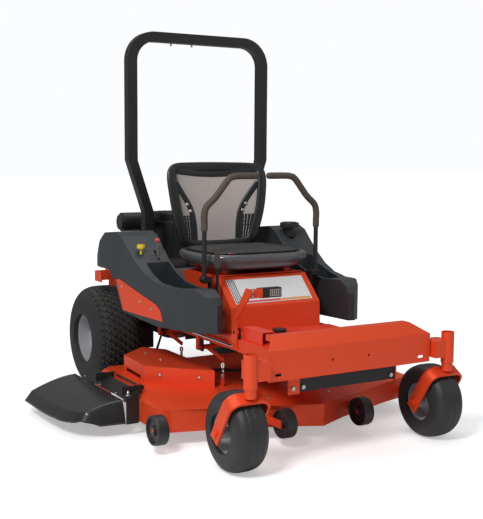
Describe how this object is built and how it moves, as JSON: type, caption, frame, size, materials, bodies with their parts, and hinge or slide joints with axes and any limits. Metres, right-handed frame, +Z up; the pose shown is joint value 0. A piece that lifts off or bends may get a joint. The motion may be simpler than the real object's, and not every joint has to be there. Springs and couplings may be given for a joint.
{
  "type": "zero turn mower",
  "caption": "Riding mower with caster front wheels, lap-bar steering, a mesh-back seat, a roll bar and a wide side-discharge deck under its frame.",
  "frame": {"origin": "middle of the machine's footprint on the ground, at the centre of its bounding box's base", "axes": "+X to the machine's left, +Y to its rear, +Z up"},
  "size_m": [1.71, 2.024, 1.885],
  "materials": {
    "orange_paint": "gloss powder coat",
    "black_paint": "gloss powder coat",
    "charcoal_plastic": "moulded, fine grain",
    "black_plastic": "moulded",
    "tyre_rubber": "tread and sidewall rubber",
    "rim_paint": "silver grey paint",
    "chute_rubber": "moulded rubber sheet",
    "bright_steel": "zinc plated",
    "chrome": "polished",
    "engine_metal": "cast",
    "drive_casting": "painted casting",
    "seat_plastic": "semi-gloss moulding",
    "seat_fabric": "woven",
    "seat_net": "open mesh",
    "yellow_plastic": "moulded",
    "belt_rubber": "fabric-backed rubber"
  },
  "bodies": {
    "chassis": {"frame_rails": "orange_paint", "front_frame": "orange_paint", "front_beam": "orange_paint", "engine_plate": "black_paint", "rear_guard": "orange_paint", "floor_pan": "orange_paint", "console": "orange_paint", "rops": "black_paint", "chassis_bolts": "bright_steel", "fender_right": "charcoal_plastic", "fender_left": "charcoal_plastic", "badge_panels": "orange_paint", "engine_block": "engine_metal", "engine_shroud": "black_plastic", "air_cleaner": "black_plastic", "muffler": "bright_steel", "transaxles": "drive_casting", "chassis_brackets": "black_paint"},
    "drive_shaft": {"engine_shaft": "bright_steel"},
    "deck": {"deck_shell": "orange_paint", "belt_covers": "orange_paint", "spindle_housings": "drive_casting", "deck_belt": "belt_rubber", "lift_chains": "chrome"},
    "chute": {"chute_bracket": "black_paint", "chute_rubber": "chute_rubber"},
    "lift_pedal_body": {"lift_pedal": "orange_paint"},
    "lift_link": {"lift_rod": "chrome"},
    "front_lift": {"lift_shaft_front": "orange_paint"},
    "rear_lift": {"lift_shaft_rear": "orange_paint"},
    "seat_base": {"seat_plate": "orange_paint"},
    "seat": {"seat_shell": "seat_plastic", "seat_cushion": "seat_fabric", "seat_back_frame": "seat_plastic", "seat_mesh": "seat_net"},
    "brake": {"brake_lever": "black_paint"},
    "throttle": {"throttle_lever": "bright_steel"},
    "blade_clutch_knob": {"pto_knob": "yellow_plastic"},
    "tank_cap": {"fuel_cap": "black_plastic"},
    "blade_right": {"spindle_right": "bright_steel"},
    "blade_centre": {"spindle_centre": "bright_steel"},
    "blade_left": {"spindle_left": "bright_steel"},
    "rear_wheel_right": {"rear_tyre_right": "tyre_rubber", "rear_rim_right": "rim_paint"},
    "caster_right": {"caster_fork_right": "orange_paint"},
    "caster_wheel_right": {"caster_tyre_right": "tyre_rubber", "caster_rim_right": "rim_paint"},
    "lever_right": {"lap_lever_right": "black_paint"},
    "control_bar_right": {"lap_bar_right": "black_paint"},
    "rear_wheel_left": {"rear_tyre_left": "tyre_rubber", "rear_rim_left": "rim_paint"},
    "caster_left": {"caster_fork_left": "orange_paint"},
    "caster_wheel_left": {"caster_tyre_left": "tyre_rubber", "caster_rim_left": "rim_paint"},
    "lever_left": {"lap_lever_left": "black_paint"},
    "control_bar_left": {"lap_bar_left": "black_paint"},
    "roller_wheel_outer_right": {"roller_outer_right": "chute_rubber"},
    "roller_wheel_inner_right": {"roller_inner_right": "chute_rubber"},
    "roller_wheel_inner_left": {"roller_inner_left": "chute_rubber"},
    "roller_wheel_outer_left": {"roller_outer_left": "chute_rubber"}
  },
  "joints": [
    {"name": "caster_swivel_right", "type": "hinge", "parent": "chassis", "child": "caster_right", "pos_m": [-0.388, -0.953, 0.4], "axis": [0, 0, 1], "continuous": true},
    {"name": "caster_spin_right", "type": "hinge", "parent": "caster_right", "child": "caster_wheel_right", "pos_m": [-0.388, -0.847, 0.165], "axis": [1, 0, 0], "continuous": true},
    {"name": "rear_wheel_spin_right", "type": "hinge", "parent": "chassis", "child": "rear_wheel_right", "pos_m": [-0.312, 0.721, 0.278], "axis": [1, 0, 0], "continuous": true},
    {"name": "steer_lever_right", "type": "hinge", "parent": "chassis", "child": "lever_right", "pos_m": [-0.16, -0.203, 0.56], "axis": [1, 0, 0], "range_deg": [-12, 12], "stiffness_Nm_per_rad": 60},
    {"name": "bar_swing_right", "type": "hinge", "parent": "lever_right", "child": "control_bar_right", "pos_m": [-0.192, -0.203, 0.69], "axis": [0, -1, 0], "range_deg": [0, 30]},
    {"name": "caster_swivel_left", "type": "hinge", "parent": "chassis", "child": "caster_left", "pos_m": [0.628, -0.953, 0.4], "axis": [0, 0, 1], "continuous": true},
    {"name": "caster_spin_left", "type": "hinge", "parent": "caster_left", "child": "caster_wheel_left", "pos_m": [0.628, -0.847, 0.165], "axis": [1, 0, 0], "continuous": true},
    {"name": "rear_wheel_spin_left", "type": "hinge", "parent": "chassis", "child": "rear_wheel_left", "pos_m": [0.552, 0.721, 0.278], "axis": [1, 0, 0], "continuous": true},
    {"name": "steer_lever_left", "type": "hinge", "parent": "chassis", "child": "lever_left", "pos_m": [0.4, -0.203, 0.56], "axis": [1, 0, 0], "range_deg": [-12, 12], "stiffness_Nm_per_rad": 60},
    {"name": "bar_swing_left", "type": "hinge", "parent": "lever_left", "child": "control_bar_left", "pos_m": [0.432, -0.203, 0.69], "axis": [0, 1, 0], "range_deg": [0, 30]},
    {"name": "seat_tilt", "type": "hinge", "parent": "chassis", "child": "seat_base", "pos_m": [0.12, -0.194, 0.7], "axis": [1, 0, 0], "range_deg": [0, 32]},
    {"name": "seat_slide", "type": "slide", "parent": "seat_base", "child": "seat", "axis": [0, 1, 0], "range_m": [-0.05, 0.05]},
    {"name": "deck_lift", "type": "slide", "parent": "chassis", "child": "deck", "axis": [0, 0, 1], "range_m": [-0.034, 0.06]},
    {"name": "pedal_push", "type": "hinge", "parent": "chassis", "child": "lift_pedal_body", "pos_m": [-0.175, -0.468, 0.486], "axis": [1, 0, 0], "range_deg": [-15, 25.5]},
    {"name": "link_slide", "type": "slide", "parent": "chassis", "child": "lift_link", "axis": [0, 1, 0], "range_m": [-0.016, 0.027]},
    {"name": "front_lift_turn", "type": "hinge", "parent": "chassis", "child": "front_lift", "pos_m": [0.12, -0.12094, 0.355], "axis": [-1, 0, 0], "range_deg": [-13, 23]},
    {"name": "rear_lift_turn", "type": "hinge", "parent": "chassis", "child": "rear_lift", "pos_m": [0.12, 0.29906, 0.355], "axis": [-1, 0, 0], "range_deg": [-13, 23]},
    {"name": "chute_flip", "type": "hinge", "parent": "deck", "child": "chute", "pos_m": [-0.5, -0.028, 0.212], "axis": [0, 1, 0], "range_deg": [0, 75]},
    {"name": "brake_pull", "type": "hinge", "parent": "chassis", "child": "brake", "pos_m": [-0.161, -0.273, 0.56], "axis": [1, 0, 0], "range_deg": [0, 35]},
    {"name": "throttle_move", "type": "hinge", "parent": "chassis", "child": "throttle", "pos_m": [-0.28, 0.117, 0.7], "axis": [1, 0, 0], "range_deg": [-14, 14]},
    {"name": "blade_switch", "type": "slide", "parent": "chassis", "child": "blade_clutch_knob", "axis": [0, 0, 1], "range_m": [0, 0.012]},
    {"name": "cap_turn", "type": "hinge", "parent": "chassis", "child": "tank_cap", "pos_m": [0.545, 0.207, 0.88], "axis": [0, 0, 1], "continuous": true},
    {"name": "engine_turn", "type": "hinge", "parent": "chassis", "child": "drive_shaft", "pos_m": [0.12, 0.741, 0.3], "axis": [0, 0, 1], "continuous": true},
    {"name": "blade_spin_right", "type": "hinge", "parent": "deck", "child": "blade_right", "pos_m": [-0.277, 0.027, 0.15], "axis": [0, 0, 1], "continuous": true},
    {"name": "blade_spin_centre", "type": "hinge", "parent": "deck", "child": "blade_centre", "pos_m": [0.165, -0.258, 0.15], "axis": [0, 0, 1], "continuous": true},
    {"name": "blade_spin_left", "type": "hinge", "parent": "deck", "child": "blade_left", "pos_m": [0.607, 0.027, 0.15], "axis": [0, 0, 1], "continuous": true},
    {"name": "roller_spin_outer_right", "type": "hinge", "parent": "deck", "child": "roller_wheel_outer_right", "pos_m": [-0.573, -0.5, 0.105], "axis": [1, 0, 0], "continuous": true},
    {"name": "roller_spin_inner_right", "type": "hinge", "parent": "deck", "child": "roller_wheel_inner_right", "pos_m": [-0.043, -0.674, 0.105], "axis": [1, 0, 0], "continuous": true},
    {"name": "roller_spin_inner_left", "type": "hinge", "parent": "deck", "child": "roller_wheel_inner_left", "pos_m": [0.373, -0.674, 0.105], "axis": [1, 0, 0], "continuous": true},
    {"name": "roller_spin_outer_left", "type": "hinge", "parent": "deck", "child": "roller_wheel_outer_left", "pos_m": [0.815, -0.53, 0.105], "axis": [1, 0, 0], "continuous": true}
  ],
  "couplings": [
    {"joint": "pedal_push", "follows": "deck_lift", "rad_per_m": 7.18},
    {"joint": "link_slide", "follows": "deck_lift", "ratio": 0.438},
    {"joint": "front_lift_turn", "follows": "deck_lift", "rad_per_m": 6.25},
    {"joint": "rear_lift_turn", "follows": "deck_lift", "rad_per_m": 6.25},
    {"joint": "blade_spin_right", "follows": "engine_turn", "ratio": 1},
    {"joint": "blade_spin_centre", "follows": "engine_turn", "ratio": 1},
    {"joint": "blade_spin_left", "follows": "engine_turn", "ratio": 1}
  ]
}
